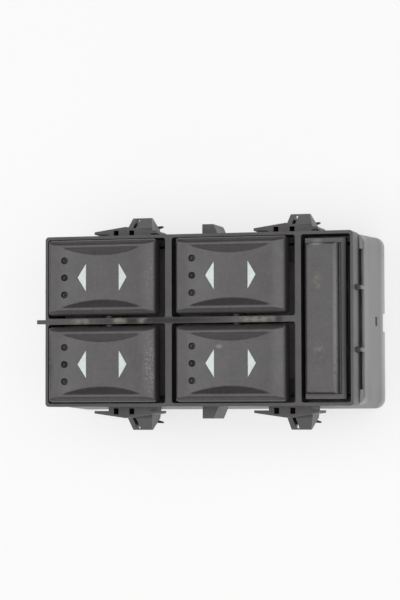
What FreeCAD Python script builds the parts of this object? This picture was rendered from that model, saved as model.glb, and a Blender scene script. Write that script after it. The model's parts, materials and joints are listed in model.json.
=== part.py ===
# Power window switch pack for a car console: a deep lower case that snaps into the trim,
# a cover frame with cells, four rockers with a finger scoop and two arrows each, and one
# long isolator button. Each rocker tail drives a contact slider over the circuit board.
# Millimetres. +Z up, base face on z = 0, front end at -X, right-hand row at +Y.
import FreeCAD, Part
import math
import os

Vector = FreeCAD.Vector

# Cover frame
pack_width = 53.9
cover_height = 10.0
cover_corner = 1.1
side_wall = 1.0
front_wall = 0.9
rear_wall = 0.8
mid_rib = 1.9
cross_rib = 2.1
isolator_rib = 1.9
rib_depth = 9.0
rocker_cell_length = 39.6
isolator_cell_length = 15.5
cell_corner = 0.8
skirt_depth = 3.4
tab_reach = 3.2
tab_width = 1.3
tab_height = 1.8

# Lower case
case_height = 30.0
case_end_step = 1.6
case_side_step = 0.3
case_wall = 1.5
case_floor = 1.6
case_corner = 3.3
foot_height = 7.0
foot_flare = 0.45
end_draft = 0.25
side_draft = 0.75
lip_thickness = 0.45
groove_depth = 3.0
boss_radius = 3.0
prop_half = 1.8

# Latch tongues at both ends
tongue_spread = 9.65
tongue_width = 1.2
tongue_rise = 5.5
tongue_root = 5.0
hook_height = 1.8
hook_reach = 1.6
latch_window_width = 1.8
latch_window_height = 4.2

# Trim clips and lugs on the long sides
clip_spread = 26.3
wing_half = 10.35
wing_tip_out = 2.4
wing_peak_out = 3.9
wing_thickness = 0.8
wing_height = 11.0
wing_root_front = 5.6
wing_root_rear = 8.4
window_front = -3.9
window_rear = 1.3
window_length = 1.6
window_width = 1.9
window_depth = 7.0
tooth_front = -1.2
tooth_rear = 7.0
tooth_tip_rear = 5.1
tooth_out = 7.7
tooth_drop = 6.5
tooth_reach = 12.5
tooth_edge = 1.2
tooth_foot = 18.0
tooth_slot_front = 0.4
tooth_slot_length = 1.1
tooth_slot_edge = 0.5
tooth_slot_depth = 4.0
shelf_drop = 19.5
shelf_thickness = 1.5
shelf_rear = 6.7
shelf_out = 5.6
shelf_width = 1.0
lug_front = -0.8
lug_tip_rear = 2.8
lug_root_rear = 4.6
lug_out = 4.1
lug_height = 12.7

# Rocker
rocker_rise = 4.2
rocker_end_gap = 2.3
rocker_slope_run = 3.0
rocker_slope_drop = 0.5
rocker_edge_run = 0.4
rocker_edge_drop = 0.6
rocker_height = 6.0
rocker_inner_gap = 0.85
rocker_outer_gap = 0.4
rocker_side_slope = 1.45
rocker_side_drop = 1.3
rocker_wall = 1.5
rocker_skin = 1.4
scoop_end_margin = 1.1
scoop_depth = 1.8
scoop_width_top = 18.9
scoop_width_floor = 14.2
arrow_flat = 5.4
arrow_apex = 8.15
arrow_height = 8.7
dot_margin = 0.85
dot_pitch = 5.38
dot_ring_radius = 1.05
dot_pip_radius = 0.5
dot_depth = 0.35
pivot_depth = 5.0
pivot_pin_radius = 1.6
pivot_pin_engagement = 0.8
ear_half = 4.2
ear_tip_half = 2.2
ear_drop = 2.4
rocker_swing = 6.0
tail_thickness = 1.8
tail_width = 5.2
tail_ball_radius = 1.2
tail_root_half = 1.8
tail_root_height = 3.0
foot_inset = 3.5
foot_half = 0.8
foot_width = 4.0

# Contact layer
board_drop = 11.0
board_thickness = 1.6
board_gap = 0.4
board_corner = 2.5
slider_half = 6.0
slider_width = 9.0
slider_height = 5.5
slider_foot_height = 0.9
slider_foot_width = 0.9
slot_floor = 2.4
slot_width = 6.4
bridge_thickness = 0.3
bridge_half = 4.0
bridge_width = 4.0
bridge_ridge_place = 2.2
bridge_ridge_half = 0.5
bridge_ridge_tip = 0.15
track_thickness = 0.2
track_width = 5.4
track_common_half = 1.5
track_outer_near = 3.0
track_outer_far = 5.5
holder_thickness = 1.6
holder_front_gap = 2.0
holder_side_gap = 1.6
rail_half = 9.0
rail_thickness = 1.2
tail_window_room = 1.2
tail_window_width = 6.6
lamp_place = 11.6
lamp_side = 2.0
lamp_height = 1.2
lamp_window_side = 4.0
screw_front_inset = 4.7
screw_rear_inset = 3.2
screw_side_inset = 4.6
screw_shank_radius = 1.25
screw_head_radius = 2.4
screw_head_height = 1.6
screw_length = 16.0
screw_tip_room = 1.0

# Return leaf under each rocker
leaf_thickness = 0.3
leaf_width = 4.0
leaf_side_gap = 1.2
leaf_flat_half = 3.4
leaf_tip_half = 0.9

# Isolator button and its switch
button_front_gap = 1.35
button_face_width = 10.05
button_end_step = 1.65
button_rise = 1.0
button_edge = 1.3
flange_front_gap = 0.8
flange_rear_gap = 1.7
flange_side_gap = 1.0
flange_drop = 1.8
flange_depth = 2.8
button_groove_width = 0.8
button_groove_depth = 0.9
button_wall = 1.3
button_travel = 2.5
stem_radius = 2.2
leg_radius = 1.5
leg_inset = 6.05
leg_length = 12.5
leg_boss_radius = 3.2
leg_boss_rise = 6.5
switch_length = 9.0
switch_width = 12.0
switch_height = 7.0
stem_room = 1.7
stem_engagement = 1.6
spring_radius = 3.2
spring_wire = 0.5
spring_turns = 3.0

# Connector socket in the rear end of the base
socket_length = 12.0
socket_width = 25.0
socket_roof_gap = 1.9
socket_wall = 1.5
pin_rows = 2
pin_columns = 7
pin_row_pitch = 5.2
pin_pitch = 3.2
pin_side = 0.8
pin_tip_recess = 3.2
lock_window_width = 2.9
lock_window_height = 3.2
lock_window_drop = 3.8
base_notch_width = 5.8
base_notch_height = 2.4
lock_bead_radius = 1.5
lock_bead_height = 6.0

# Pins, posts and dots are many, so they are prisms with this many sides
round_sides = 24
pivot_sides = 16
dot_sides = 10
tail_sides = 8

# Clearances
running_gap = 0.05
sliding_gap = 0.1
seat_gap = 0.1

# Worked-out places
pack_length = 2 * rocker_cell_length + cross_rib + isolator_rib + isolator_cell_length + rear_wall
half_length = pack_length / 2
half_width = pack_width / 2
rib_top = case_height + cover_height
rib_bottom = rib_top - rib_depth
case_half_length = half_length + case_end_step
case_half_width = half_width - case_side_step
cell_inner_y = mid_rib / 2
cell_outer_y = half_width - side_wall
rocker_half_width = (cell_outer_y - cell_inner_y - rocker_inner_gap - rocker_outer_gap) / 2
row_y = cell_inner_y + rocker_inner_gap + rocker_half_width
isolator_cell_rear = half_length - rear_wall
front_cell_start = -half_length
front_cell_end = front_cell_start + rocker_cell_length
rear_cell_start = front_cell_end + cross_rib
rear_cell_end = rear_cell_start + rocker_cell_length
isolator_cell_front = rear_cell_end + isolator_rib
front_rocker_x = (front_cell_start + front_cell_end) / 2
rear_rocker_x = (rear_cell_start + rear_cell_end) / 2
pivot_z = rib_top - pivot_depth
rocker_top = rib_top + rocker_rise
leaf_offset = rocker_half_width - rocker_wall - leaf_side_gap - leaf_width / 2
rocker_end_half = rocker_cell_length / 2 - rocker_end_gap
rocker_top_half = rocker_end_half - rocker_edge_run - rocker_slope_run
rocker_bottom = rocker_top - rocker_height
scoop_half = rocker_top_half - scoop_end_margin
dot_place = scoop_half - dot_margin
foot_place = rocker_end_half - rocker_wall - foot_inset
board_level = case_height - board_drop
tail_end_z = board_level + running_gap + slot_floor + seat_gap + tail_ball_radius
slider_bottom = board_level + running_gap
slider_top = slider_bottom + slider_height
holder_bottom = slider_top + sliding_gap
holder_top = holder_bottom + holder_thickness
tail_lean = (pivot_z - holder_bottom) * math.sin(math.radians(rocker_swing))
tail_window_half = tail_thickness / 2 + tail_lean + tail_window_room
board_bottom = board_level - board_thickness
button_top = rib_top + button_rise
button_face_front = isolator_cell_front + button_front_gap
button_face_rear = button_face_front + button_face_width
button_x = (button_face_front + button_face_rear) / 2
flange_front = isolator_cell_front + flange_front_gap
flange_rear = isolator_cell_rear - flange_rear_gap
flange_half = cell_outer_y - flange_side_gap
flange_top = rib_top - flange_drop
button_ceiling = button_top - button_wall
switch_top = board_level + switch_height
stem_tip = switch_top - stem_engagement
case_inner_end = case_half_length - case_wall
case_inner_side = case_half_width - case_wall
socket_front = case_inner_end - socket_length
socket_depth = board_bottom - socket_roof_gap - socket_wall
lock_window_level = socket_depth - lock_window_drop
screw_front_x = -case_inner_end + screw_front_inset
screw_rear_x = rear_cell_end - screw_rear_inset
screw_y = case_inner_side - screw_side_inset
button_face_half = flange_half - button_end_step
leg_spread = button_face_half - leg_inset

rockers = {
    "front_right": (front_rocker_x, 1),
    "front_left": (front_rocker_x, -1),
    "rear_right": (rear_rocker_x, 1),
    "rear_left": (rear_rocker_x, -1),
}


def block(x0, x1, y0, y1, z0, z1):
    return Part.makeBox(x1 - x0, y1 - y0, z1 - z0, Vector(x0, y0, z0))


def ring_points(radius, x, y, sides):
    steps = [2 * math.pi * (k + 0.5) / sides for k in range(sides)]
    return [(x + radius * math.cos(step), y + radius * math.sin(step)) for step in steps]


def disc(radius, x, y, z0, z1):
    return plan_prism(ring_points(radius, x, y, round_sides), z0, z1)


def bore(radius, x, y, z0, z1):
    return disc(radius / math.cos(math.pi / round_sides), x, y, z0, z1)


def cross_disc(radius, x, z, y0, y1):
    return Part.makeCylinder(radius, y1 - y0, Vector(x, y0, z), Vector(0, 1, 0))


def cross_pin(radius, x, z, y0, y1, sides):
    return side_prism(ring_points(radius, x, z, sides), y0, y1)


def cross_bore(radius, x, z, y0, y1):
    return cross_pin(radius / math.cos(math.pi / pivot_sides), x, z, y0, y1, pivot_sides)


def plan_prism(points, z0, z1):
    wire = Part.makePolygon([Vector(x, y, z0) for x, y in points + points[:1]])
    return Part.Face(wire).extrude(Vector(0, 0, z1 - z0))


def side_prism(points, y0, y1):
    wire = Part.makePolygon([Vector(x, y0, z) for x, z in points + points[:1]])
    return Part.Face(wire).extrude(Vector(0, y1 - y0, 0))


def end_prism(points, x0, x1):
    wire = Part.makePolygon([Vector(x0, y, z) for y, z in points + points[:1]])
    return Part.Face(wire).extrude(Vector(x1 - x0, 0, 0))


def rounded_wire(x0, x1, y0, y1, radius, z):
    bow = radius * (1 - math.sqrt(0.5))
    corners = [
        ((x1, y0 + radius), (x1, y1 - radius), (x1 - bow, y1 - bow), (x1 - radius, y1)),
        ((x1 - radius, y1), (x0 + radius, y1), (x0 + bow, y1 - bow), (x0, y1 - radius)),
        ((x0, y1 - radius), (x0, y0 + radius), (x0 + bow, y0 + bow), (x0 + radius, y0)),
        ((x0 + radius, y0), (x1 - radius, y0), (x1 - bow, y0 + bow), (x1, y0 + radius)),
    ]
    edges = []
    for start, end, middle, after in corners:
        a, b, c, d = (Vector(px, py, z) for px, py in (start, end, middle, after))
        edges.append(Part.LineSegment(a, b).toShape())
        edges.append(Part.Arc(b, c, d).toShape())
    return Part.Wire(edges)


def rounded_block(x0, x1, y0, y1, z0, z1, radius):
    face = Part.Face(rounded_wire(x0, x1, y0, y1, radius, z0))
    return face.extrude(Vector(0, 0, z1 - z0))


def joined(shapes):
    return shapes[0].multiFuse(shapes[1:]).removeSplitter()


def mirrored_y(shape):
    return shape.mirror(Vector(0, 0, 0), Vector(0, 1, 0))


def mirrored_x(shape):
    return shape.mirror(Vector(0, 0, 0), Vector(1, 0, 0))


def moved(shape, x, y):
    copy = shape.copy()
    copy.translate(Vector(x, y, 0))
    return copy


def screw_places():
    return [(x, y) for x in (screw_front_x, screw_rear_x) for y in (screw_y, -screw_y)]


def pin_places():
    middle_x = (socket_front + case_inner_end) / 2
    for row in range(pin_rows):
        for column in range(pin_columns):
            x = middle_x + (row - (pin_rows - 1) / 2) * pin_row_pitch
            yield x, (column - (pin_columns - 1) / 2) * pin_pitch


def pin_holes(z0, z1):
    half = pin_side / 2 + running_gap
    return [block(x - half, x + half, y - half, y + half, z0, z1) for x, y in pin_places()]


# Cover frame

def cell_cut(x0, x1, y0, y1, z0):
    return rounded_block(x0, x1, y0, y1, z0, rib_top + 1, cell_corner)


def latch_window(end):
    x0, x1 = sorted((end * (half_length - 2 * rear_wall), end * (half_length + 1)))
    y0 = tongue_spread - latch_window_width / 2
    z1 = case_height + tongue_rise + seat_gap + (latch_window_height - hook_height) / 2
    window = block(x0, x1, y0, y0 + latch_window_width, z1 - latch_window_height, z1)
    return [window, mirrored_y(window)]


def cover_frame():
    bottom = case_height - skirt_depth
    ledge = case_inner_side - seat_gap
    skirt_corner = case_corner - case_wall
    band = rounded_block(-half_length, half_length, -half_width, half_width,
                         case_height, rib_top, cover_corner)
    skirt = rounded_block(-half_length, half_length, -ledge, ledge, bottom, case_height, skirt_corner)
    frame = joined([band, skirt])
    inner = front_cell_start + front_wall
    cuts = [block(inner, isolator_cell_rear, -ledge + side_wall, ledge - side_wall, bottom - 1, rib_bottom)]
    cuts.append(block(inner, isolator_cell_rear, -cell_outer_y, cell_outer_y, case_height, rib_bottom))
    for side in (1, -1):
        y0, y1 = sorted((side * cell_inner_y, side * cell_outer_y))
        cuts.append(cell_cut(inner, front_cell_end, y0, y1, rib_bottom))
        cuts.append(cell_cut(rear_cell_start, rear_cell_end, y0, y1, rib_bottom))
    cuts.append(cell_cut(isolator_cell_front, isolator_cell_rear, -cell_outer_y, cell_outer_y, rib_bottom))
    for x in (front_rocker_x, rear_rocker_x):
        cuts.append(cross_bore(pivot_pin_radius + running_gap, x, pivot_z, -half_width - 1, half_width + 1))
    cuts += latch_window(1) + latch_window(-1)
    frame = frame.cut(cuts)
    tab_top = rib_top - 1
    tab = block(-half_length - tab_reach, -half_length + front_wall, -tab_width / 2, tab_width / 2,
                tab_top - tab_height, tab_top)
    return joined([frame, tab])


# Lower case

def case_outline(end_growth, side_growth, z):
    length = case_half_length + end_growth
    width = case_half_width + side_growth
    return rounded_wire(-length, length, -width, width, case_corner, z)


def case_shell():
    rim = case_outline(0, 0, case_height)
    step = case_outline(end_draft, side_draft, foot_height)
    base = case_outline(end_draft + foot_flare, side_draft + foot_flare / 2, 0)
    upper = Part.makeLoft([step, rim], True, True)
    foot = Part.makeLoft([base, step], True, True)
    hollow = rounded_block(-case_inner_end, case_inner_end, -case_inner_side, case_inner_side,
                           case_floor, case_height + 1, case_corner - case_wall)
    lip_inner = case_half_length - lip_thickness
    groove = block(-lip_inner, lip_inner, -case_inner_side + case_corner, case_inner_side - case_corner,
                   case_height - groove_depth, case_height + 1)
    return joined([upper, foot]).cut([hollow, groove])


def latch_tongue():
    outer = case_half_length
    inner = case_half_length - lip_thickness
    top = case_height + tongue_rise
    y0 = tongue_spread - tongue_width / 2
    y1 = y0 + tongue_width
    arm = block(inner, outer, y0, y1, case_height - tongue_root, top)
    tip = inner - hook_reach
    hook_bottom = top - hook_height
    hook = side_prism([(inner, hook_bottom), (tip, hook_bottom), (tip, hook_bottom + hook_height / 3),
                       (inner, top)], y0, y1)
    return joined([arm, hook])


def clip_wing(root):
    tip = case_half_width + wing_tip_out
    peak = case_half_width + wing_peak_out
    outline = [(-wing_half, tip), (0, peak), (wing_half, tip), (wing_half, tip - wing_thickness),
               (wing_root_rear, tip - wing_thickness), (wing_root_rear, root), (-wing_root_front, root),
               (-wing_root_front, tip - wing_thickness), (-wing_half, tip - wing_thickness)]
    wing = plan_prism(outline, case_height - wing_height, case_height)
    y0 = case_half_width + wing_thickness
    floor = case_height - window_depth
    windows = [block(x, x + window_length, y0, y0 + window_width, floor, case_height + 1)
               for x in (window_front, window_rear)]
    return wing.cut(windows)


def clip_tooth(root):
    lip = case_half_width + wing_peak_out
    tip = case_half_width + tooth_out
    top = case_height - tooth_drop
    edge = case_height - tooth_reach
    foot = case_height - tooth_foot
    plan = plan_prism([(tooth_front, root), (tooth_front, tip), (tooth_tip_rear, tip), (tooth_rear, lip),
                       (tooth_rear, root)], foot, top)
    profile = end_prism([(root, foot), (root, top), (lip, top), (tip, edge), (tip, edge - tooth_edge)],
                        tooth_front - 1, tooth_rear + 1)
    slot = block(tooth_slot_front, tooth_slot_front + tooth_slot_length, lip, tip - tooth_slot_edge,
                 edge - tooth_slot_depth / 2, top + 1)
    return plan.common(profile).cut(slot)


def clip_shelf(root):
    out = case_half_width + shelf_out
    top = case_height - shelf_drop
    return plan_prism([(tooth_front, root), (tooth_front, out - shelf_width / 2), (shelf_rear, out),
                       (shelf_rear, out - shelf_width / 2), (tooth_tip_rear, out - shelf_width),
                       (tooth_tip_rear, root)], top - shelf_thickness, top)


def trim_clip():
    root = case_half_width - case_wall / 2
    return joined([clip_wing(root), clip_tooth(root), clip_shelf(root)])


def locating_lug():
    wall = case_half_width
    root = wall - case_wall / 2
    return plan_prism([(lug_front, root), (lug_front, wall + lug_out), (lug_tip_rear, wall + lug_out),
                       (lug_root_rear, wall), (lug_root_rear, root)], case_height - lug_height, case_height)


def socket_walls():
    half = socket_width / 2
    outer = block(socket_front - socket_wall, case_inner_end + case_wall / 2, -half - socket_wall,
                  half + socket_wall, 0, socket_depth + socket_wall)
    return outer


def socket_cuts():
    half = socket_width / 2
    cuts = [block(socket_front, case_inner_end, -half, half, -1, socket_depth)]
    cuts += pin_holes(socket_depth - 1, socket_depth + socket_wall + 1)
    wall_out = case_half_length + end_draft + foot_flare + 1
    half = lock_window_width / 2
    cuts.append(block(case_inner_end - 0.1, wall_out, -half, half,
                      lock_window_level, lock_window_level + lock_window_height))
    half = base_notch_width / 2
    cuts.append(block(case_inner_end - 0.1, wall_out, -half, half, -1, base_notch_height))
    return cuts


def board_posts():
    posts = [disc(boss_radius, x, y, case_floor / 2, board_bottom) for x, y in screw_places()]
    props = [(button_x, leg_spread + prop_half), (button_x, -leg_spread - prop_half)]
    props.append(((front_cell_end + rear_cell_start) / 2, 0))
    posts += [block(x - prop_half, x + prop_half, y - prop_half, y + prop_half, case_floor / 2, board_bottom)
              for x, y in props]
    return posts


def lower_case():
    solids = [case_shell(), socket_walls()] + board_posts()
    for end in (1, -1):
        for side in (1, -1):
            tongue = latch_tongue() if side > 0 else mirrored_y(latch_tongue())
            solids.append(tongue if end > 0 else mirrored_x(tongue))
    for side in (1, -1):
        clips = [moved(trim_clip(), x, 0) for x in (-clip_spread, clip_spread)] + [locating_lug()]
        solids += clips if side > 0 else [mirrored_y(clip) for clip in clips]
    case = joined(solids).cut(socket_cuts())
    tip = holder_top - screw_length - screw_tip_room
    case = case.cut([bore(screw_shank_radius + running_gap, x, y, tip, board_bottom + 1)
                     for x, y in screw_places()])
    bead = disc(lock_bead_radius, case_inner_end, 0, 0, lock_bead_height)
    return joined([case, bead])


# Board, contacts and holder

def circuit_board():
    end = case_inner_end - board_gap
    side = case_inner_side - board_gap
    board = rounded_block(-end, end, -side, side, board_bottom, board_level, board_corner)
    holes = [bore(screw_shank_radius + running_gap, x, y, board_bottom - 1, board_level + 1)
             for x, y in screw_places()]
    return board.cut(holes + pin_holes(board_bottom - 1, board_level + 1))


def connector_pins():
    half = pin_side / 2
    return Part.makeCompound([
        block(x - half, x + half, y - half, y + half, pin_tip_recess, board_level - running_gap)
        for x, y in pin_places()])


def board_lamps():
    half = lamp_side / 2
    lamps = []
    for x, side in rockers.values():
        for place in (x - lamp_place, x + lamp_place):
            y = side * row_y
            lamps.append(block(place - half, place + half, y - half, y + half,
                               board_level, board_level + lamp_height))
    return Part.makeCompound(lamps)


def fixed_contacts(x, side):
    y0 = side * row_y - track_width / 2
    spans = [(-track_outer_far, -track_outer_near), (-track_common_half, track_common_half),
             (track_outer_near, track_outer_far)]
    return Part.makeCompound([
        block(x + a, x + b, y0, y0 + track_width, board_level, board_level + track_thickness)
        for a, b in spans])


def contact_bridge(x, side):
    y = side * row_y
    top = slider_bottom + slider_foot_height
    plate = block(x - bridge_half, x + bridge_half, y - bridge_width / 2, y + bridge_width / 2,
                  top - bridge_thickness, top)
    low = board_level + track_thickness + running_gap
    middle = top - bridge_thickness / 2
    ridges = []
    for place in (x - bridge_ridge_place, x + bridge_ridge_place):
        points = [(place - bridge_ridge_half, middle), (place - bridge_ridge_tip, low),
                  (place + bridge_ridge_tip, low), (place + bridge_ridge_half, middle)]
        ridges.append(side_prism(points, y - bridge_width / 2, y + bridge_width / 2))
    return joined([plate] + ridges)


def contact_slider(x, side):
    y = side * row_y
    half = slider_width / 2
    body = block(x - slider_half, x + slider_half, y - half, y + half, slider_bottom, slider_top)
    belly = block(x - slider_half - 1, x + slider_half + 1, y - half + slider_foot_width,
                  y + half - slider_foot_width, slider_bottom - 1, slider_bottom + slider_foot_height)
    reach = tail_ball_radius + running_gap
    slot = block(x - reach, x + reach, y - slot_width / 2, y + slot_width / 2,
                 slider_bottom + slot_floor, slider_top + 1)
    return body.cut([belly, slot])


def contact_holder():
    front = -case_inner_end + holder_front_gap
    rear = isolator_cell_rear - holder_front_gap
    side = case_inner_side - holder_side_gap
    plate = rounded_block(front, rear, -side, side, holder_bottom, holder_top, board_corner)
    solids = [plate]
    windows = []
    for x, row in rockers.values():
        y = row * row_y
        for rail in (1, -1):
            y0 = rail * (slider_width / 2 + sliding_gap)
            y1 = y0 + rail * rail_thickness
            a, b = sorted((y + y0, y + y1))
            solids.append(block(x - rail_half, x + rail_half, a, b, board_level, holder_bottom + 0.5))
        windows.append(block(x - tail_window_half, x + tail_window_half, y - tail_window_width / 2,
                             y + tail_window_width / 2, holder_bottom - 1, holder_top + 1))
        half = lamp_window_side / 2
        windows += [block(place - half, place + half, y - half, y + half, holder_bottom - 1, holder_top + 1)
                    for place in (x - lamp_place, x + lamp_place)]
    solids += [disc(boss_radius, x, y, board_level, holder_bottom + 0.5) for x, y in screw_places()]
    windows += [bore(screw_shank_radius + running_gap, x, y, board_level - 1, holder_top + 1)
                for x, y in screw_places()]
    for y in (leg_spread, -leg_spread):
        solids.append(disc(leg_boss_radius, button_x, y, holder_bottom, holder_top + leg_boss_rise))
        windows.append(bore(leg_radius + running_gap, button_x, y, holder_bottom - 1,
                            holder_top + leg_boss_rise + 1))
    windows.append(block(button_x - switch_length / 2 - seat_gap, button_x + switch_length / 2 + seat_gap,
                         -switch_width / 2 - seat_gap, switch_width / 2 + seat_gap,
                         holder_bottom - 1, holder_top + 1))
    return joined(solids).cut(windows)


def board_screws():
    screws = []
    for x, y in screw_places():
        head = disc(screw_head_radius, x, y, holder_top, holder_top + screw_head_height)
        shank = disc(screw_shank_radius, x, y, holder_top - screw_length, holder_top)
        screws.append(joined([head, shank]))
    return Part.makeCompound(screws)


# Rocker, its arrow insert and its return leaf

def scoop_radius():
    return (scoop_half ** 2 + scoop_depth ** 2) / (2 * scoop_depth)


def scoop_tool(sink):
    radius = scoop_radius()
    length = scoop_width_top + 2
    drum = cross_disc(radius + sink, 0, rocker_top + radius - scoop_depth, -length / 2, length / 2)
    top = scoop_width_top / 2
    floor = scoop_width_floor / 2
    slope = (top - floor) / scoop_depth
    profile = end_prism([(-top - slope, rocker_top + 1), (top + slope, rocker_top + 1),
                         (floor - slope * sink, rocker_top - scoop_depth - sink),
                         (-floor + slope * sink, rocker_top - scoop_depth - sink)],
                        -scoop_half - 1, scoop_half + 1)
    return drum.common(profile)


def arrow_prism(direction, margin, z0, z1):
    half = arrow_height / 2 - margin
    flat = arrow_flat + margin / 2
    apex = arrow_apex - margin * 2
    return plan_prism([(direction * flat, -half), (direction * flat, half), (direction * apex, 0)], z0, z1)


def rocker_outer():
    shoulder = rocker_top - rocker_slope_drop
    edge = shoulder - rocker_edge_drop
    right = [(rocker_top_half, rocker_top), (rocker_end_half - rocker_edge_run, shoulder),
             (rocker_end_half, edge), (rocker_end_half, rocker_bottom)]
    left = [(-x, z) for x, z in reversed(right)]
    y = rocker_half_width
    lengthwise = side_prism(right + left, -y, y)
    inset = y - rocker_side_slope
    side_top = rocker_top - rocker_side_drop
    across = end_prism([(-y, rocker_bottom - 1), (-y, side_top), (-inset, rocker_top), (inset, rocker_top),
                        (y, side_top), (y, rocker_bottom - 1)], -rocker_end_half - 1, rocker_end_half + 1)
    return lengthwise.common(across)


def dot_rings():
    floor = rocker_top - scoop_depth + dot_place ** 2 / (2 * scoop_radius())
    rings = []
    for step in (-1, 0, 1):
        outer = ring_points(dot_ring_radius, -dot_place, step * dot_pitch, dot_sides)
        inner = ring_points(dot_pip_radius, -dot_place, step * dot_pitch, dot_sides)
        ring = plan_prism(outer, floor - dot_depth, rocker_top + 1)
        rings.append(ring.cut(plan_prism(inner, floor - dot_depth, floor)))
    return rings


def rocker_ear(y0, y1):
    tip = pivot_z - ear_drop
    root = rocker_bottom + 1
    return side_prism([(-ear_half, root), (ear_half, root), (ear_half, rocker_bottom), (ear_tip_half, tip),
                       (-ear_tip_half, tip), (-ear_half, rocker_bottom)], y0, y1)


def rocker(x, side):
    y = rocker_half_width
    inner_y = y - rocker_wall
    ceiling = rocker_top - scoop_depth - rocker_skin
    shell = rocker_outer().cut(scoop_tool(0))
    inner_x = rocker_end_half - rocker_wall
    shell = shell.cut(block(-inner_x, inner_x, -inner_y, inner_y, rocker_bottom - 1, ceiling))
    solids = [shell]
    pin_ends = {side: rocker_half_width + rocker_outer_gap, -side: rocker_half_width + rocker_inner_gap}
    for wall, pin_end in pin_ends.items():
        y0, y1 = sorted((wall * inner_y, wall * y))
        solids.append(rocker_ear(y0, y1))
        y0, y1 = sorted((wall * inner_y, wall * (pin_end + pivot_pin_engagement)))
        solids.append(cross_pin(pivot_pin_radius, 0, pivot_z, y0, y1, pivot_sides))
    half = tail_thickness / 2
    reach = tail_width / 2
    solids.append(block(-half, half, -reach, reach, tail_end_z, ceiling + 0.5))
    root_bottom = ceiling - tail_root_height
    solids.append(block(-tail_root_half, tail_root_half, -reach, reach, root_bottom, ceiling + 0.5))
    solids.append(cross_pin(tail_ball_radius, 0, tail_end_z, -reach, reach, tail_sides))
    foot_bottom = pivot_z + foot_half
    y0 = leaf_offset - foot_width / 2
    for place in (-foot_place, foot_place):
        solids.append(block(place - foot_half, place + foot_half, y0, y0 + foot_width,
                            foot_bottom, ceiling + 0.5))
    cap = joined(solids)
    cuts = [arrow_prism(direction, 0, ceiling - 1, rocker_top + 1) for direction in (1, -1)]
    cap = cap.cut(cuts + dot_rings())
    return moved(cap, x, side * row_y)


def arrow_insert(x, side):
    ceiling = rocker_top - scoop_depth - rocker_skin
    plate_x = arrow_apex + 1.0
    plate_y = arrow_height / 2 + 0.6
    window_x = tail_root_half + seat_gap
    window_y = tail_width / 2 + seat_gap
    plate = block(-plate_x, plate_x, -plate_y, plate_y, ceiling - 1.2, ceiling - running_gap)
    plate = plate.cut(block(-window_x, window_x, -window_y, window_y, ceiling - 3, ceiling + 1))
    posts = [arrow_prism(direction, running_gap, ceiling - 1, rocker_top) for direction in (1, -1)]
    insert = joined([plate] + posts).cut(scoop_tool(0))
    return moved(insert, x, side * row_y)


def return_leaf(x, side):
    low = holder_top
    high = pivot_z + foot_half - running_gap
    t = leaf_thickness
    tip = foot_place + leaf_tip_half
    near = foot_place - leaf_tip_half
    right = [(leaf_flat_half, low), (near, high - t), (tip, high - t), (tip, high), (near, high)]
    right.append((leaf_flat_half - t / 2, low + t))
    left = [(-a, b) for a, b in reversed(right)]
    y0 = leaf_offset - leaf_width / 2
    return moved(side_prism(right + left, y0, y0 + leaf_width), x, side * row_y)


# Isolator button, its spring and switch

def isolator_button():
    half = button_face_half
    face = block(button_face_front, button_face_rear, -half, half, flange_top - 1, button_top)
    top_edges = [e for e in face.Edges if min(v.Z for v in e.Vertexes) > button_top - 0.01]
    face = face.makeFillet(button_edge, top_edges)
    flange_bottom = flange_top - flange_depth
    flange = block(flange_front, flange_rear, -flange_half, flange_half, flange_bottom, flange_top)
    button = joined([face, flange])
    wall = button_wall
    cavity = block(flange_front + wall, flange_rear - wall, -flange_half + wall, flange_half - wall,
                   flange_bottom - 1, flange_top - wall)
    core = block(button_face_front + wall, button_face_rear - wall, -half + wall, half - wall,
                 flange_bottom - 1, button_ceiling)
    groove = block(button_face_rear, button_face_rear + button_groove_width, -half, half,
                   flange_top - button_groove_depth, flange_top + 1)
    button = button.cut([cavity, core, groove])
    posts = [disc(stem_radius, button_x, 0, stem_tip, button_ceiling + wall / 2)]
    posts += [disc(leg_radius, button_x, y, button_ceiling - leg_length, button_ceiling + wall / 2)
              for y in (leg_spread, -leg_spread)]
    return joined([button] + posts)


def isolator_switch():
    length = switch_length / 2
    width = switch_width / 2
    body = block(button_x - length, button_x + length, -width, width, board_level, switch_top)
    well = stem_tip - button_travel - stem_room
    return body.cut(bore(stem_radius + running_gap, button_x, 0, well, switch_top + 1))


def isolator_spring():
    low = switch_top + spring_wire / 2 + running_gap
    high = button_ceiling - spring_wire / 2 - running_gap
    pitch = (high - low) / spring_turns
    path = Part.makeHelix(pitch, high - low, spring_radius)
    half = spring_wire / 2
    corners = [(-half, -half), (half, -half), (half, half), (-half, half), (-half, -half)]
    section = Part.makePolygon([Vector(spring_radius + across, 0, up) for across, up in corners])
    coil = Part.Wire(path).makePipeShell([section], True, True)
    coil.translate(Vector(button_x, 0, low))
    return coil


def write(name, shape):
    shape.exportStep("parts/" + name + ".step")
    print(name, "solids", len(shape.Solids), "valid", shape.isValid(), "volume", round(shape.Volume, 2))


os.makedirs("parts", exist_ok=True)
write("cover_frame", cover_frame())
write("lower_case", lower_case())
write("circuit_board", circuit_board())
write("contact_holder", contact_holder())
write("board_screws", board_screws())
write("board_lamps", board_lamps())
write("connector_pins", connector_pins())
write("isolator_button", isolator_button())
write("isolator_switch", isolator_switch())
write("isolator_spring", isolator_spring())
for corner, (centre_x, row) in rockers.items():
    write("rocker_" + corner, rocker(centre_x, row))
    write("arrow_insert_" + corner, arrow_insert(centre_x, row))
    write("return_leaf_" + corner, return_leaf(centre_x, row))
    write("contact_slider_" + corner, contact_slider(centre_x, row))
    write("contact_bridge_" + corner, contact_bridge(centre_x, row))
    write("fixed_contacts_" + corner, fixed_contacts(centre_x, row))
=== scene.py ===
import bpy
import json
import math
import numpy as np
from mathutils import Matrix, Vector

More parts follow.
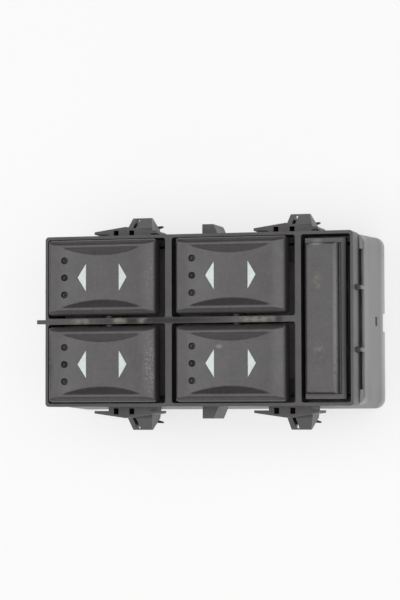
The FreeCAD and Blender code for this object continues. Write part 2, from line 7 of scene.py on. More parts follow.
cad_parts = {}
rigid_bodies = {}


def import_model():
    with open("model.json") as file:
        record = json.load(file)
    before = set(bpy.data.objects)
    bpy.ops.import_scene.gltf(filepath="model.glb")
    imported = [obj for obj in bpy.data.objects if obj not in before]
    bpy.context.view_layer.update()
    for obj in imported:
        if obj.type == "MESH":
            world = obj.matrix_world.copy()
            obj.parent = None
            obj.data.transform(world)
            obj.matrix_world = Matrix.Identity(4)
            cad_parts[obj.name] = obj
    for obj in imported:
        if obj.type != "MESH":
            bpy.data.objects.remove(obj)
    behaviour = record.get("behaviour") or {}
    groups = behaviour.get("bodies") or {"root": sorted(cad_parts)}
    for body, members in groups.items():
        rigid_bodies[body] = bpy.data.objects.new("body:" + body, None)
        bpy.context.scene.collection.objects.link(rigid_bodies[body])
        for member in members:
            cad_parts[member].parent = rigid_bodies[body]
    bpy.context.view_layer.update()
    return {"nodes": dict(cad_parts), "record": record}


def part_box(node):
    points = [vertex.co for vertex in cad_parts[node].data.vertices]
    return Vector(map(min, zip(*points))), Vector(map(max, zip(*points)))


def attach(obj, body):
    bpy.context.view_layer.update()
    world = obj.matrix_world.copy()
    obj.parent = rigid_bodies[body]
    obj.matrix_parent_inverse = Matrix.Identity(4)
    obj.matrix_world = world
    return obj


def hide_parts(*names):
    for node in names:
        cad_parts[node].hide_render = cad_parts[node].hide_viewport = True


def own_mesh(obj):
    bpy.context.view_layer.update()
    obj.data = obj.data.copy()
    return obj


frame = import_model()
nodes = frame["nodes"]
mm = 0.001
corners = ["front_right", "front_left", "rear_right", "rear_left"]
dotPlace = 12.15  # mm from the middle of a rocker to its row of dots
rodSides = 40
sharpAngle = math.radians(40)
smoothAngle = math.radians(35)
flatAngle = math.radians(0.2)
mergeDistance = 0.000002


# Small helpers. Sizes are given in mm and turned to metres where Blender gets them

def deselectAll():
    for item in bpy.context.view_layer.objects:
        item.select_set(False)


def pick(piece):
    deselectAll()
    piece.select_set(True)
    bpy.context.view_layer.objects.active = piece


def applyPlace(piece):
    pick(piece)
    bpy.ops.object.transform_apply(location=True, rotation=True, scale=True)


def applyModifiers(piece):
    pick(piece)
    for modifier in list(piece.modifiers):
        bpy.ops.object.modifier_apply(modifier=modifier.name)


def startEditing(piece):
    pick(piece)
    bpy.ops.object.mode_set(mode="EDIT")
    bpy.ops.mesh.select_all(action="SELECT")


def stopEditing():
    bpy.ops.object.mode_set(mode="OBJECT")


def combine(piece, tool, operation):
    modifier = piece.modifiers.new("combine", "BOOLEAN")
    modifier.operation = operation
    modifier.solver = "EXACT"
    modifier.object = tool
    applyModifiers(piece)
    bpy.data.objects.remove(tool)


def block(low, high):
    deselectAll()
    size = [(b - a) * mm for a, b in zip(low, high)]
    middle = [(b + a) / 2 * mm for a, b in zip(low, high)]
    bpy.ops.mesh.primitive_cube_add(size=1, location=middle, scale=size)
    piece = bpy.context.active_object
    applyPlace(piece)
    return piece


def rod(radius, z, yLow, yHigh):
    deselectAll()
    bpy.ops.mesh.primitive_cylinder_add(
        vertices=rodSides, radius=radius * mm, depth=(yHigh - yLow) * mm,
        location=(0, (yLow + yHigh) / 2 * mm, z * mm), rotation=(math.pi / 2, 0, 0))
    piece = bpy.context.active_object
    applyPlace(piece)
    return piece


def copyOf(piece, name):
    twin = piece.copy()
    twin.data = piece.data.copy()
    twin.name = name
    bpy.context.collection.objects.link(twin)
    return twin


def cellMiddle(corner):
    low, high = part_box("arrow_insert_" + corner)
    return (low + high) / 2


def smoothMin(a, b, blend):
    share = np.clip(0.5 + 0.5 * (b - a) / blend, 0, 1)
    return b * (1 - share) + a * share - blend * share * (1 - share)


def smoothMax(a, b, blend):
    return -smoothMin(-a, -b, blend)


def ramp(value, low, high):
    share = np.clip((value - low) / (high - low), 0, 1)
    return share * share * (3 - 2 * share)


# Materials

def newMaterial(name):
    material = bpy.data.materials.new(name)
    material.use_nodes = True
    tree = material.node_tree
    shader = tree.nodes["Principled BSDF"]
    coords = tree.nodes.new("ShaderNodeTexCoord")
    return material, tree, shader, coords.outputs["Object"]


def feed(tree, value, socket):
    if isinstance(value, bpy.types.NodeSocket):
        tree.links.new(value, socket)
    elif isinstance(value, tuple):
        socket.default_value = (*value, 1.0)
    else:
        socket.default_value = value


def noise(tree, coords, scale, detail, roughness):
    node = tree.nodes.new("ShaderNodeTexNoise")
    node.inputs["Scale"].default_value = scale
    node.inputs["Detail"].default_value = detail
    node.inputs["Roughness"].default_value = roughness
    tree.links.new(coords, node.inputs["Vector"])
    return node.outputs["Fac"]


def fade(tree, value, band, first, last):
    node = tree.nodes.new("ShaderNodeValToRGB")
    for element, place, colour in zip(node.color_ramp.elements, band, (first, last)):
        element.position = place
        element.color = (*(colour if isinstance(colour, tuple) else (colour,) * 3), 1.0)
    tree.links.new(value, node.inputs["Fac"])
    return node.outputs["Color"]


def mixColour(tree, share, first, second):
    node = tree.nodes.new("ShaderNodeMix")
    node.data_type = "RGBA"
    feed(tree, share, node.inputs["Factor"])
    feed(tree, first, node.inputs[6])
    feed(tree, second, node.inputs[7])
    return node.outputs[2]


def maths(tree, operation, first, second):
    node = tree.nodes.new("ShaderNodeMath")
    node.operation = operation
    feed(tree, first, node.inputs[0])
    feed(tree, second, node.inputs[1])
    return node.outputs[0]


def bump(tree, height, strength, distance):
    node = tree.nodes.new("ShaderNodeBump")
    node.inputs["Strength"].default_value = strength
    node.inputs["Distance"].default_value = distance
    tree.links.new(height, node.inputs["Height"])
    return node.outputs["Normal"]


patchCore = 0.35  # share of a patch's reach that has it in full


def patch(tree, coords, middle, reach):
    mapping = tree.nodes.new("ShaderNodeMapping")
    mapping.inputs["Location"].default_value = [-m / r for m, r in zip(middle, reach)]
    mapping.inputs["Scale"].default_value = [1 / (r * mm) for r in reach]
    tree.links.new(coords, mapping.inputs["Vector"])
    length = tree.nodes.new("ShaderNodeVectorMath")
    length.operation = "LENGTH"
    tree.links.new(mapping.outputs["Vector"], length.inputs[0])
    return fade(tree, length.outputs["Value"], (patchCore, 1.0), 1.0, 0.0)


# A noise is given as scale, detail and roughness, a band as the two values it fades between
mouldedFinish = {
    "cloud": (110, 5, 0.6), "cloudBand": (0.35, 0.72),
    "colour": (0.023, 0.0195, 0.021), "dusty": (0.032, 0.0285, 0.028),
    "mottle": (900, 4, 0.7), "mottleBand": (0.35, 0.75), "mottleAmount": 0.6, "mottleGain": 1.8,
    "specks": (1500, 2, 0.5), "speckBand": (0.68, 0.78), "speckAmount": 0.45,
    "speckColour": (0.10, 0.095, 0.09),
    "sheen": (160, 4, 0.6), "sheenBand": (0.3, 0.7), "roughness": (0.33, 0.44),
    "patchDetail": 4, "patchNoiseRoughness": 0.65, "patchFade": 0.14,
    "grain": (2700, 2, 0.6), "grainStrength": 0.7, "grainDepth": 0.000030,
}


def mouldedPlastic(name, shine, wearAndLightPatches):
    f = mouldedFinish
    material, tree, shader, coords = newMaterial(name)
    cloud = noise(tree, coords, *f["cloud"])
    colour = fade(tree, cloud, f["cloudBand"], f["colour"], f["dusty"])
    mottle = fade(tree, noise(tree, coords, *f["mottle"]), f["mottleBand"], 0.0, f["mottleAmount"])
    colour = mixColour(tree, mottle, colour, tuple(c * f["mottleGain"] for c in f["dusty"]))
    specks = fade(tree, noise(tree, coords, *f["specks"]), f["speckBand"], 0.0, f["speckAmount"])
    colour = mixColour(tree, specks, colour, f["speckColour"])
    rough = fade(tree, noise(tree, coords, *f["sheen"]), f["sheenBand"], *f["roughness"])
    # Each patch mixes in its colour and roughness: some are dirt and rubbing, others painted shade
    # and painted light
    for w in wearAndLightPatches:
        spots = noise(tree, coords, w["spots"], f["patchDetail"], f["patchNoiseRoughness"])
        band = (w["threshold"], w["threshold"] + f["patchFade"])
        spots = fade(tree, spots, band, 0.0, w["amount"])
        share = maths(tree, "MULTIPLY", spots, patch(tree, coords, w["middle"], w["reach"]))
        colour = mixColour(tree, share, colour, w["colour"])
        rough = mixColour(tree, share, rough, (w["roughness"],) * 3)
    tree.links.new(colour, shader.inputs["Base Color"])
    tree.links.new(rough, shader.inputs["Roughness"])
    shader.inputs["Specular IOR Level"].default_value = shine
    height = noise(tree, coords, *f["grain"])
    normal = bump(tree, height, f["grainStrength"], f["grainDepth"])
    tree.links.new(normal, shader.inputs["Normal"])
    return material


plainLook = {
    "cloud": (900, 3, 0.5), "sheen": (300, 3, 0.5), "band": (0.3, 0.7),
    "darker": 0.85, "smoother": 0.85, "rougher": 1.15,
    "grain": (3600, 2, 0.5), "grainStrength": 0.5, "grainDepth": 0.000004,
}


def plainFinish(name, colour, roughness, metallic=0.0):
    f = plainLook
    material, tree, shader, coords = newMaterial(name)
    darker = tuple(c * f["darker"] for c in colour)
    tint = fade(tree, noise(tree, coords, *f["cloud"]), f["band"], darker, colour)
    tree.links.new(tint, shader.inputs["Base Color"])
    rough = fade(tree, noise(tree, coords, *f["sheen"]), f["band"],
                 roughness * f["smoother"], roughness * f["rougher"])
    tree.links.new(rough, shader.inputs["Roughness"])
    shader.inputs["Metallic"].default_value = metallic
    height = noise(tree, coords, *f["grain"])
    normal = bump(tree, height, f["grainStrength"], f["grainDepth"])
    tree.links.new(normal, shader.inputs["Normal"])
    return material


# Worn and dirty places, and places of painted shade and painted light: spots of a noise above a
# threshold, inside an ellipsoid given in mm

def wearAndPaintedLight(middle, reach, colour, roughness=0.5, amount=1.0, spots=60, threshold=0.1):
    return {"middle": middle, "reach": reach, "colour": colour, "roughness": roughness,
            "amount": amount, "spots": spots, "threshold": threshold}


oliveDirt = (0.17, 0.158, 0.118)
# The darkest colour is dirt in some places and painted shade in others: in the dimples of the dots
# and on the button's flange
grimeAndPaintedShade = (0.012, 0.0115, 0.0105)
# Painted light on the cover's end wall, which faces the right
paintedEndWallLight = (0.17, 0.168, 0.17)
# Painted reflection on the case's end wall
paintedCaseWallReflection = (0.18, 0.176, 0.182)
greyWear = (0.19, 0.19, 0.195)
# Partly rubbing, partly a painted highlight on the button's right edge
rubbedRidgeAndPaintedHighlight = (0.22, 0.22, 0.228)
rubbedEnd = (0.30, 0.30, 0.305)
# Painted reflection: lighter colours for the rim of the case's end wall, its bottom edge and the
# lugs' sides
paintedCaseRimLight = (0.34, 0.34, 0.35)
paintedCaseEdgeReflection = (0.5, 0.49, 0.48)
paintedLugReflection = (0.55, 0.54, 0.53)

coverDirtAndPaintedLight = [
    wearAndPaintedLight((-12.5, 0, 40), (29.0, 1.5, 1.4), grimeAndPaintedShade, roughness=0.72),
    wearAndPaintedLight((-37.4, 0, 40), (4.6, 1.5, 1.4), oliveDirt, amount=0.75, spots=420, threshold=0.40),
    wearAndPaintedLight((-25.2, 0, 40), (3.0, 1.5, 1.4), oliveDirt, amount=0.95, spots=420, threshold=0.36),
    wearAndPaintedLight((-17.2, 0, 40), (2.9, 1.4, 1.4), oliveDirt, amount=0.75, spots=420, threshold=0.40),
    wearAndPaintedLight((19.2, 0, 40), (8.4, 1.5, 1.4), oliveDirt, amount=0.8, spots=420, threshold=0.38),
    wearAndPaintedLight((26.4, 0, 40), (1.8, 1.5, 1.4), grimeAndPaintedShade, roughness=0.72, amount=0.8),
    # Painted light: the cover's end wall made lighter
    wearAndPaintedLight((50.0, 0, 35.0), (0.8, 60.0, 5.2), paintedEndWallLight, spots=120, threshold=0.2),
]
rockerWearAndPaintedShade = [
    wearAndPaintedLight((-13.9, -13.7, 43.8), (2.8, 11.5, 1.8), greyWear, amount=0.8, spots=1500, threshold=0.50),
    wearAndPaintedLight((-13.9, 13.7, 43.8), (2.6, 11.5, 1.8), greyWear, amount=0.45, spots=1500, threshold=0.53),
    wearAndPaintedLight((-47.5, -13.7, 43.4), (2.4, 11.0, 1.8), grimeAndPaintedShade, roughness=0.7, amount=0.7, spots=900,
         threshold=0.42),
    wearAndPaintedLight((8.0, -8.4, 42.8), (1.8, 0.9, 1.2), greyWear, amount=0.7, spots=700, threshold=0.38),
]
buttonWearAndPaintedLight = [
    wearAndPaintedLight((38.2, 23.9, 40.0), (3.4, 1.9, 2.2), rubbedEnd, spots=600, threshold=0.25),
    # The button's right edge made lighter and smoother: partly rubbing, partly a painted highlight
    wearAndPaintedLight((44.8, 0, 40.0), (1.5, 44.0, 2.2), rubbedRidgeAndPaintedHighlight, roughness=0.45, amount=0.85, spots=800,
         threshold=0.30),
    wearAndPaintedLight((39.0, 11.5, 41), (1.8, 3.4, 1.0), oliveDirt, amount=0.4, spots=380, threshold=0.42),
    wearAndPaintedLight((39.2, -10.0, 41), (2.4, 3.2, 1.0), oliveDirt, amount=0.4, spots=380, threshold=0.42),
    # The flange beside the button made darker and rougher: partly dirt, partly painted shade for
    # the shade it gets low beside the cover's wall
    wearAndPaintedLight((47.6, 0, 38), (1.7, 60.0, 3.0), grimeAndPaintedShade, roughness=0.75),
]
# The case's patches are all painted light: its end wall, the rim at its top and its bottom edge
# made lighter, and the lugs' sides made very light, as a painted reflection of the pale floor at a
# grazing angle
casePaintedLight = [
    wearAndPaintedLight((51.5, 0, 14), (5.0, 60.0, 26.0), paintedCaseWallReflection, roughness=0.4, spots=90),
    wearAndPaintedLight((50.2, 0, 28.0), (1.6, 60.0, 9.0), paintedCaseRimLight, roughness=0.45, spots=90),
    wearAndPaintedLight((52.0, 0, -1.5), (5.0, 60.0, 7.5), paintedCaseEdgeReflection, roughness=0.4, spots=200, threshold=0.2),
    wearAndPaintedLight((5.2, -33.9, 23.6), (2.8, 3.4, 11.0), paintedLugReflection, roughness=0.4, amount=2.0),
    wearAndPaintedLight((5.2, 33.9, 23.6), (2.8, 3.4, 11.0), paintedLugReflection, roughness=0.4, amount=2.0),
]
# Painted shade in the dimples of the dots: a dark, rough patch at the bottom of each row of dots
# on every cap
dotShadeDepth = 1.6
for corner in corners:
    middle = cellMiddle(corner) / mm
    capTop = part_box("rocker_" + corner)[1].z / mm
    rockerWearAndPaintedShade.append(wearAndPaintedLight((middle.x - dotPlace, middle.y, capTop - dotShadeDepth),
                           (1.4, 12.0, 1.0), grimeAndPaintedShade, roughness=0.9, threshold=0.05))

finishes = {
    "cover_plastic": mouldedPlastic("coverPlastic", 0.60, coverDirtAndPaintedLight),
    "case_plastic": mouldedPlastic("casePlastic", 0.62, casePaintedLight),
    "rocker_plastic": mouldedPlastic("rockerPlastic", 0.74, rockerWearAndPaintedShade),
    "button_plastic": mouldedPlastic("buttonPlastic", 0.70, buttonWearAndPaintedLight),
    "arrow_white": plainFinish("arrowWhite", (0.62, 0.69, 0.67), 0.38),
    "holder_plastic": plainFinish("holderPlastic", (0.15, 0.145, 0.14), 0.5),
    "slider_plastic": plainFinish("sliderPlastic", (0.42, 0.40, 0.35), 0.5),
    "switch_body": plainFinish("switchBody", (0.05, 0.05, 0.055), 0.45),
    "lamp_body": plainFinish("lampBody", (0.75, 0.76, 0.7), 0.2),
    "board": plainFinish("boardLaminate", (0.03, 0.09, 0.045), 0.4),
    "screw_steel": plainFinish("screwSteel", (0.10, 0.10, 0.105), 0.4, metallic=1.0),
    "spring_steel": plainFinish("springSteel", (0.55, 0.55, 0.57), 0.35, metallic=1.0),
    "contact_metal": plainFinish("contactMetal", (0.75, 0.58, 0.3), 0.3, metallic=1.0),
    "leaf_bronze": plainFinish("leafBronze", (0.62, 0.42, 0.25), 0.35, metallic=1.0),
}
for part in frame["record"]["subparts"]:
    node = nodes[part["node"]]
    node.data.materials.clear()
    node.data.materials.append(finishes[part["material_slot"]])
print("finishes ready")


# Rocker caps: one skin for all four, an underside for each row, a copy for each cell

rockerShape = {
    "half": (17.5, 11.875), "height": 6.0, "wall": 1.5, "ceilingDrop": 3.2,
    "crest": 14.1, "slopeDrop": 0.5, "slopeEnd": 17.1, "edgeDrop": 0.6,
    "sideRun": 1.45, "sideDrop": 1.3, "edgeSteep": 4.0, "edgeInset": 0.16, "cornerRadius": 0.8,
    "scoopHalf": 13.0, "scoopDepth": 1.8, "scoopTopHalf": 9.45, "scoopFloorHalf": 7.1,
    "crestBlend": 0.12, "ridgeBlend": 0.45, "scoopBlend": 0.28,
    "dotPitch": 5.38, "dotRadii": (0.756, 1.08), "dotDepth": 1.0,
    "pipShift": 0.15, "pipRadii": (0.17, 0.425), "pipDrop": 0.4,
    "arrowFlat": 5.4, "arrowApex": 8.15, "arrowHeight": 8.7, "cutDepth": 5.0, "cutDrop": 1.5,
    "cutBelow": 1.0,
    "pivotZ": 35.0, "pinRadius": 1.6, "pinReach": (13.075, 13.525),
    "earHalf": 4.2, "earTipHalf": 2.2, "earTip": 32.6,
    "tail": (1.8, 5.2), "tailEnd": 22.75, "tailBall": 1.2, "tailRoot": (1.8, 3.0),
    "footPlace": 12.5, "footHalf": 0.8, "footSide": (5.175, 9.175), "footBottom": 35.8,
    "intoWall": 1.0, "intoCeiling": 0.5, "overlap": 0.02, "inset": 0.01,
}
rockerMesh = {
    "coarse": 0.36, "fine": 0.1,
    "atEnds": 1.1, "atCrests": 0.6, "beforeRearCrest": 1.7, "atDots": 1.3, "atSides": 2.0,
    "scoopWalls": (6.6, 9.9),
}


def spacedLines(low, high, zones):
    coarse, fine = rockerMesh["coarse"], rockerMesh["fine"]
    places = [low]
    while places[-1] < high - fine / 2:
        here = places[-1]
        near = any(a <= here + fine / 2 <= b for a, b in zones)
        places.append(min(high, here + (fine if near else coarse)))
    return np.array(places)


def rockerOutside(x, y, top):
    s = rockerShape
    ax, ay = np.abs(x), np.abs(y)
    slope = top - (ax - s["crest"]) * s["slopeDrop"] / (s["slopeEnd"] - s["crest"])
    edgeRun = s["half"][0] - s["slopeEnd"]
    edge = top - s["slopeDrop"] - (ax - s["slopeEnd"]) * s["edgeDrop"] / edgeRun
    side = top - (ay - s["half"][1] + s["sideRun"]) * s["sideDrop"] / s["sideRun"]
    sideEdge = top - s["sideDrop"] - (ay - s["half"][1] + s["edgeInset"]) * s["edgeSteep"]
    outside = smoothMin(np.full_like(x, top), slope, s["crestBlend"])
    for plane in (edge, side, sideEdge):
        outside = smoothMin(outside, plane, s["ridgeBlend"])
    return outside


def rockerScoop(x, y, top):
    s = rockerShape
    radius = (s["scoopHalf"] ** 2 + s["scoopDepth"] ** 2) / (2 * s["scoopDepth"])
    floor = top - s["scoopDepth"] + radius - np.sqrt(radius ** 2 - np.abs(x) ** 2)
    wallSlope = s["scoopDepth"] / (s["scoopTopHalf"] - s["scoopFloorHalf"])
    wall = top - (s["scoopTopHalf"] - np.abs(y)) * wallSlope
    return smoothMax(floor, wall, s["scoopBlend"])


def rockerHeight(x, y, top):
    s = rockerShape
    height = smoothMin(rockerOutside(x, y, top), rockerScoop(x, y, top), s["scoopBlend"])
    for step in (-1, 0, 1):
        along = y - step * s["dotPitch"]
        bowl = 1 - ramp(np.hypot(x + dotPlace, along), *s["dotRadii"])
        pip = 1 - ramp(np.hypot(x + dotPlace + s["pipShift"], along), *s["pipRadii"])
        height = height - s["dotDepth"] * bowl + (s["dotDepth"] - s["pipDrop"]) * pip
    return height


def rockerLines():
    m = rockerMesh
    xHalf, yHalf = rockerShape["half"]
    crest, pitch = rockerShape["crest"], rockerShape["dotPitch"]
    wallLow, wallHigh = m["scoopWalls"]
    columns = spacedLines(-xHalf, xHalf, [
        (-xHalf, -xHalf + m["atEnds"]), (xHalf - m["atEnds"], xHalf),
        (-crest - m["atCrests"], -crest + m["atCrests"]),
        (crest - m["beforeRearCrest"], crest + m["atCrests"]),
        (-dotPlace - m["atDots"], -dotPlace + m["atDots"])])
    rows = spacedLines(-yHalf, yHalf, [
        (-yHalf, -yHalf + m["atSides"]), (yHalf - m["atSides"], yHalf),
        (-wallHigh, -wallLow), (wallLow, wallHigh)]
        + [(k * pitch - m["atDots"], k * pitch + m["atDots"]) for k in (-1, 0, 1)])
    return columns, rows


def rockerSkin(top):
    columns, rows = rockerLines()
    lastColumn, lastRow = len(columns) - 1, len(rows) - 1
    deselectAll()
    bpy.ops.mesh.primitive_grid_add(x_subdivisions=lastColumn, y_subdivisions=lastRow, size=2)
    cap = bpy.context.active_object
    place = np.empty(len(cap.data.vertices) * 3)
    cap.data.vertices.foreach_get("co", place)
    place = place.reshape(-1, 3)
    x = columns[np.rint((place[:, 0] + 1) / 2 * lastColumn).astype(int)]
    y = rows[np.rint((place[:, 1] + 1) / 2 * lastRow).astype(int)]
    z = rockerHeight(x, y, top)
    x, y = roundCorners(x, y)
    cap.data.vertices.foreach_set("co", (np.stack([x, y, z], 1) * mm).ravel())
    cap.data.update()
    return cap


def roundCorners(x, y):
    radius = rockerShape["cornerRadius"]
    xHalf, yHalf = rockerShape["half"]
    overX = np.maximum(np.abs(x) - xHalf + radius, 0)
    overY = np.maximum(np.abs(y) - yHalf + radius, 0)
    away = np.maximum(np.hypot(overX, overY), 1e-9)
    pull = np.maximum(overX, overY) / away - 1
    return x + np.sign(x) * overX * pull, y + np.sign(y) * overY * pull


def arrowCutter(direction, top):
    s = rockerShape
    deselectAll()
    bpy.ops.mesh.primitive_cylinder_add(vertices=3, radius=1, depth=s["cutDepth"] * mm,
                                        location=(0, 0, (top - s["cutDrop"]) * mm))
    cutter = bpy.context.active_object
    applyPlace(cutter)
    half = s["arrowHeight"] / 2
    for vertex in cutter.data.vertices:
        if vertex.co.y > 0:
            across, along = s["arrowApex"], 0
        else:
            across, along = s["arrowFlat"], -half if vertex.co.x > 0 else half
        vertex.co.x, vertex.co.y = direction * across * mm, along * mm
    startEditing(cutter)
    bpy.ops.mesh.normals_make_consistent(inside=False)
    stopEditing()
    return cutter


def makeRockerCap(top):
    s = rockerShape
    cap = rockerSkin(top)
    bottom = top - s["height"]
    startEditing(cap)
    bpy.ops.mesh.region_to_loop()
    bpy.ops.mesh.extrude_edges_move(TRANSFORM_OT_translate={"value": (0, 0, -1 * mm)})
    stopEditing()
    for vertex in cap.data.vertices:
        if vertex.select:
            vertex.co.z = bottom * mm
    bpy.ops.object.mode_set(mode="EDIT")
    bpy.ops.mesh.edge_face_add()
    bpy.ops.mesh.select_all(action="SELECT")
    bpy.ops.mesh.normals_make_consistent(inside=False)
    stopEditing()
    innerX, innerY = s["half"][0] - s["wall"], s["half"][1] - s["wall"]
    hollow = block((-innerX, -innerY, bottom - s["cutBelow"]),
                   (innerX, innerY, top - s["ceilingDrop"]))
    combine(cap, hollow, "DIFFERENCE")
    for direction in (-1, 1):
        combine(cap, arrowCutter(direction, top), "DIFFERENCE")
    return cap


def rockerEar(low, high, top):
    s = rockerShape
    root = top - s["height"] + s["intoWall"]
    ear = block((-s["earHalf"], low, s["earTip"]), (s["earHalf"], high, root))
    for vertex in ear.data.vertices:
        if vertex.co.z < (s["earTip"] + root) / 2 * mm:
            vertex.co.x *= s["earTipHalf"] / s["earHalf"]
    return ear


def addUnderside(cap, side, top):
    s = rockerShape
    ceiling = top - s["ceilingDrop"] + s["intoCeiling"]
    inner, outer = s["half"][1] - s["wall"], s["half"][1]
    thickness, width = s["tail"]
    rootHalf, rootHeight = s["tailRoot"]
    rootWidth = width / 2 - s["inset"]
    tools = []
    for wall, reach in ((side, s["pinReach"][0]), (-side, s["pinReach"][1])):
        low, high = sorted((wall * inner, wall * (outer - s["overlap"])))
        tools.append(rockerEar(low, high, top))
        low, high = sorted((wall * (inner - s["overlap"]), wall * reach))
        tools.append(rod(s["pinRadius"], s["pivotZ"], low, high))
    tools.append(block((-thickness / 2, -width / 2, s["tailEnd"]),
                       (thickness / 2, width / 2, ceiling)))
    tools.append(block((-rootHalf, -rootWidth, ceiling - rootHeight),
                       (rootHalf, rootWidth, ceiling)))
    tools.append(rod(s["tailBall"], s["tailEnd"], -rootWidth, rootWidth))
    for place in (-s["footPlace"], s["footPlace"]):
        tools.append(block((place - s["footHalf"], s["footSide"][0], s["footBottom"]),
                           (place + s["footHalf"], s["footSide"][1], ceiling)))
    for tool in tools:
        combine(cap, tool, "UNION")


def placeRocker(cap, corner):
    middle = cellMiddle(corner)
    piece = copyOf(cap, "rockerCap_" + corner)
    piece.location = (middle.x, middle.y, 0)
    applyPlace(piece)
    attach(piece, "rocker_" + corner + "_body")
    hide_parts("rocker_" + corner)


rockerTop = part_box("rocker_front_right")[1].z / mm
plainCap = makeRockerCap(rockerTop)
for side, row in ((1, "right"), (-1, "left")):
    cap = copyOf(plainCap, "rockerCap_" + row)
    addUnderside(cap, side, rockerTop)
    pick(cap)
    bpy.ops.object.shade_smooth_by_angle(angle=sharpAngle)
    cap.data.materials.clear()
    cap.data.materials.append(finishes["rocker_plastic"])
    for end in ("front", "rear"):
        placeRocker(cap, end + "_" + row)
    bpy.data.objects.remove(cap)
bpy.data.objects.remove(plainCap)
print("rocker caps ready")


# Cover, case and button: the CAD form merged and rounded, with even normals

softEdges = {
    "cover_frame": {"name": "coverFrame", "width": 0.22, "segments": 3, "body": "pack",
                    "top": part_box("cover_frame")[1].z / mm, "tolerance": 0.01},
    "lower_case": {"name": "lowerCase", "width": 0.14, "segments": 2, "body": "pack"},
    "isolator_button": {"name": "isolatorButton", "width": 0.18, "segments": 2,
                        "body": "isolator_body"},
}


# The merged copy is still in edit mode, with everything selected
def startMergedCopy(nodeName, name):
    piece = bpy.data.objects.new(name, nodes[nodeName].data.copy())
    bpy.context.collection.objects.link(piece)
    startEditing(piece)
    bpy.ops.mesh.remove_doubles(threshold=mergeDistance)
    return piece


def atTop(piece, edge, shape):
    heights = [piece.data.vertices[index].co.z / mm for index in edge.vertices]
    return all(abs(height - shape["top"]) < shape["tolerance"] for height in heights)


# Of the sharp edges, only those at the top stay selected. A face that is sharp all round
# stays selected too, and its edges are rounded with it
def roundEdges(piece, shape):
    bpy.ops.mesh.dissolve_limited(angle_limit=flatAngle)
    bpy.ops.mesh.select_mode(type="EDGE")
    bpy.ops.mesh.select_all(action="DESELECT")
    bpy.ops.mesh.edges_select_sharp(sharpness=sharpAngle)
    stopEditing()
    for edge in piece.data.edges:
        edge.select = edge.select and "top" in shape and atTop(piece, edge, shape)
    bpy.ops.object.mode_set(mode="EDIT")
    bpy.ops.mesh.bevel(offset=shape["width"] * mm, segments=shape["segments"],
                       clamp_overlap=True, affect="EDGES", profile=0.5)
    bpy.ops.mesh.select_all(action="SELECT")
    bpy.ops.mesh.remove_doubles(threshold=mergeDistance)
    stopEditing()


for nodeName, shape in softEdges.items():
    piece = startMergedCopy(nodeName, shape["name"])
    roundEdges(piece, shape)
    bpy.ops.object.shade_smooth_by_angle(angle=smoothAngle)
    even = piece.modifiers.new("even", "WEIGHTED_NORMAL")
    even.keep_sharp = True
    applyModifiers(piece)
    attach(piece, shape["body"])
    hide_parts(nodeName)
print("cover, case and button ready")


# Springs: the CAD form merged. Give is the free end's travel in mm

springs = {
    "isolator_spring": {"name": "isolatorSpring", "joint": "isolator_press", "give": 2.6},
}
for corner in corners:
    springs["return_leaf_" + corner] = {
        "name": "returnLeaf_" + corner, "joint": "rocker_" + corner + "_hinge", "give": 1.5}

for nodeName, shape in springs.items():
    piece = startMergedCopy(nodeName, shape["name"])
    stopEditing()
    bpy.ops.object.shade_smooth_by_angle(angle=smoothAngle)
    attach(piece, "pack")
    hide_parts(nodeName)
    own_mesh(piece)
print("springs ready")


# Floor, light and camera, in metres

studio = {
    "floor": 0.88, "floorRoughness": 0.9, "tint": (3, 2, 0.5), "tintBand": (0.3, 0.7),
    "tintShare": 0.995, "floorShown": 0.985, "shownShare": 0.70,
    "sides": 96, "floorRadius": 12.0, "floorDrop": 0.0002, "ringHeight": 1.26,
    "world": 0.20,
    "lamps": {
        "keyFront": {"place": (-0.74, 0.0, 0.80), "aim": (-0.74, 0.0, 0.0),
                     "size": (1.52, 0.85), "radiance": 1.72},
        "keyRear": {"place": (0.26, 0.0, 0.80), "aim": (0.26, 0.0, 0.0),
                    "size": (0.48, 0.85), "radiance": 2.35},
        "fillLeft": {"place": (-0.25, -0.9, 0.33), "aim": (0, 0, 0.04),
                     "size": (0.9, 0.35), "radiance": 0.9},
        "fillRear": {"place": (0.88, 0.0, 0.48), "aim": (0, 0, 0.04),
                     "size": (0.9, 0.5), "radiance": 1.6},
    },
}


def paleMaterial():
    material, tree, shader, coords = newMaterial("paleFloor")
    tint = fade(tree, noise(tree, coords, *studio["tint"]), studio["tintBand"],
                studio["floor"] * studio["tintShare"], studio["floor"])
    tree.links.new(tint, shader.inputs["Base Color"])
    shader.inputs["Roughness"].default_value = studio["floorRoughness"]
    path = tree.nodes.new("ShaderNodeLightPath")
    seen = maths(tree, "MAXIMUM", path.outputs["Is Camera Ray"], path.outputs["Is Glossy Ray"])
    seen = maths(tree, "MAXIMUM", seen, path.outputs["Is Transmission Ray"])
    share = maths(tree, "MULTIPLY", seen, studio["shownShare"])
    glow = tree.nodes.new("ShaderNodeEmission")
    glow.inputs["Color"].default_value = (studio["floorShown"],) * 3 + (1,)
    mix = tree.nodes.new("ShaderNodeMixShader")
    tree.links.new(share, mix.inputs[0])
    tree.links.new(shader.outputs[0], mix.inputs[1])
    tree.links.new(glow.outputs[0], mix.inputs[2])
    tree.links.new(mix.outputs[0], tree.nodes["Material Output"].inputs["Surface"])
    return material


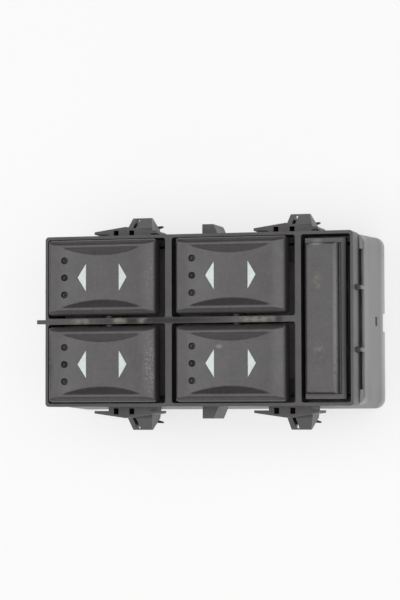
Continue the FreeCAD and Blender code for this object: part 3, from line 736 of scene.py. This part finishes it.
def placeStudio():
    radius, height = studio["floorRadius"], studio["ringHeight"]
    pale = paleMaterial()
    deselectAll()
    bpy.ops.mesh.primitive_circle_add(vertices=studio["sides"], radius=radius, fill_type="NGON",
                                      location=(0, 0, -studio["floorDrop"]))
    floor = bpy.context.active_object
    floor.name = "studioFloor"
    bpy.ops.mesh.primitive_cylinder_add(vertices=studio["sides"], radius=radius, depth=height,
                                        end_fill_type="NOTHING", location=(0, 0, height / 2))
    ring = bpy.context.active_object
    ring.name = "studioBackdrop"
    for piece in (floor, ring):
        applyPlace(piece)
        piece.data.materials.append(pale)
    world = bpy.data.worlds.new("studioWorld")
    bpy.context.scene.world = world
    world.use_nodes = True
    background = world.node_tree.nodes["Background"]
    background.inputs["Color"].default_value = (1, 1, 1, 1)
    background.inputs["Strength"].default_value = studio["world"]


def placeLamp(name, lamp):
    light = bpy.data.lights.new(name, "AREA")
    light.shape = "RECTANGLE"
    light.size, light.size_y = lamp["size"]
    light.energy = lamp["radiance"] * math.pi * light.size * light.size_y
    item = bpy.data.objects.new(name, light)
    bpy.context.collection.objects.link(item)
    item.location = lamp["place"]
    aim = Vector(lamp["aim"]) - Vector(lamp["place"])
    item.rotation_euler = aim.to_track_quat("-Z", "Y").to_euler()
    item.visible_camera = False


placeStudio()
for name, lamp in studio["lamps"].items():
    placeLamp(name, lamp)

photoCamera = {
    "tiltX": 15.3631, "tiltY": -3.1676, "roll": -0.966, "distance": 0.70398,
    "metresPerPixel": 0.0003119, "frame": (400, 600), "sensor": 36, "clipStart": 0.01,
    "aim": (0.000186, -0.0000653, 0.040), "aimPixel": (197, 320),
}


def placeCamera():
    c = photoCamera
    tiltX, tiltY, turn = (math.radians(c[key]) for key in ("tiltX", "tiltY", "roll"))
    back = Vector((math.tan(tiltX), math.tan(tiltY), 1)).normalized()
    right = (Vector((1, 0, 0)) - back * back.x).normalized()
    up = back.cross(right)
    right, up = (right * math.cos(turn) + up * math.sin(turn),
                 up * math.cos(turn) - right * math.sin(turn))
    focal = c["distance"] / c["metresPerPixel"]
    acrossPixels = c["aimPixel"][0] - c["frame"][0] / 2
    downPixels = c["aimPixel"][1] - c["frame"][1] / 2
    ray = right * (acrossPixels / focal) - up * (downPixels / focal) - back
    data = bpy.data.cameras.new("photoCamera")
    data.sensor_fit = "HORIZONTAL"
    data.sensor_width = c["sensor"]
    data.lens = c["sensor"] * focal / c["frame"][0]
    data.clip_start = c["clipStart"]
    camera = bpy.data.objects.new("photoCamera", data)
    bpy.context.collection.objects.link(camera)
    camera.location = Vector(c["aim"]) - ray * c["distance"]
    camera.rotation_euler = Matrix((right, up, back)).transposed().to_euler()
    bpy.context.scene.camera = camera


placeCamera()
bpy.context.scene.view_settings.view_transform = "Standard"
print("studio ready")
